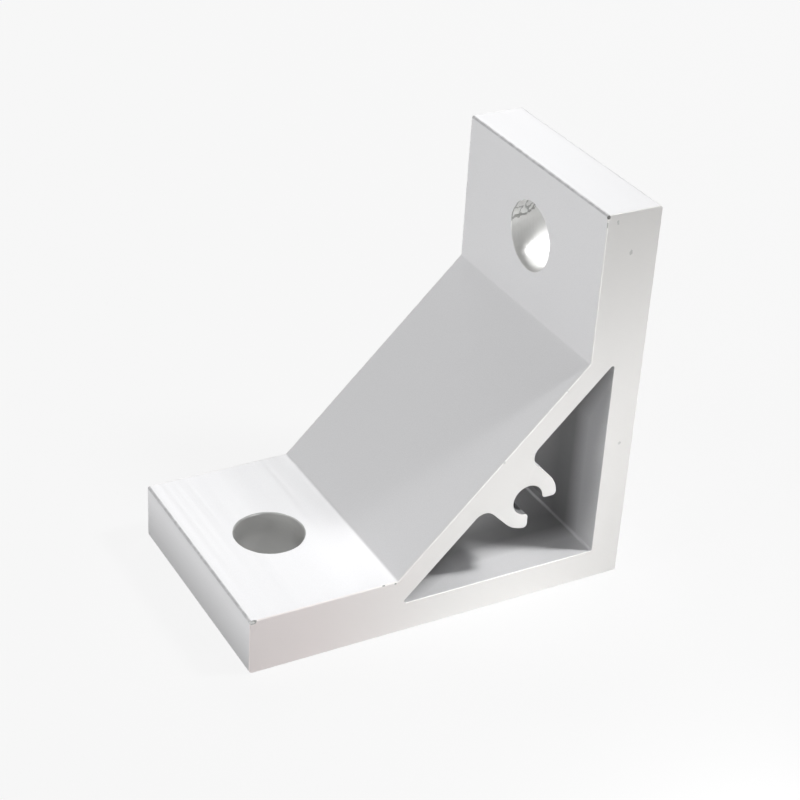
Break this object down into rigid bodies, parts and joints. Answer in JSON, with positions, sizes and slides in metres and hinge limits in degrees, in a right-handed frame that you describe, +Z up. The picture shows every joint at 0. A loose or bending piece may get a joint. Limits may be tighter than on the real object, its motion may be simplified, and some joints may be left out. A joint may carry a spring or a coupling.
{
  "type": "t slot corner bracket",
  "caption": "Right-angle corner bracket of extruded aluminium for slotted profile frames, with a diagonal web, a hollow behind it, a C-shaped screw port and a bolt hole in each leg.",
  "frame": {"origin": "on the outer edge of the heel, at the middle of the bracket's width, where the two mounting faces meet", "axes": "+X along the base leg, +Z up along the upright leg, +Y across the width; the base leg's mounting face is z = 0 and the upright leg's is x = 0"},
  "size_m": [0.053, 0.032, 0.053],
  "materials": {
    "anodised_aluminium": "satin, clear anodised, with sawn end faces"
  },
  "bodies": {
    "root": {"corner_bracket": "anodised_aluminium"}
  },
  "joints": []
}
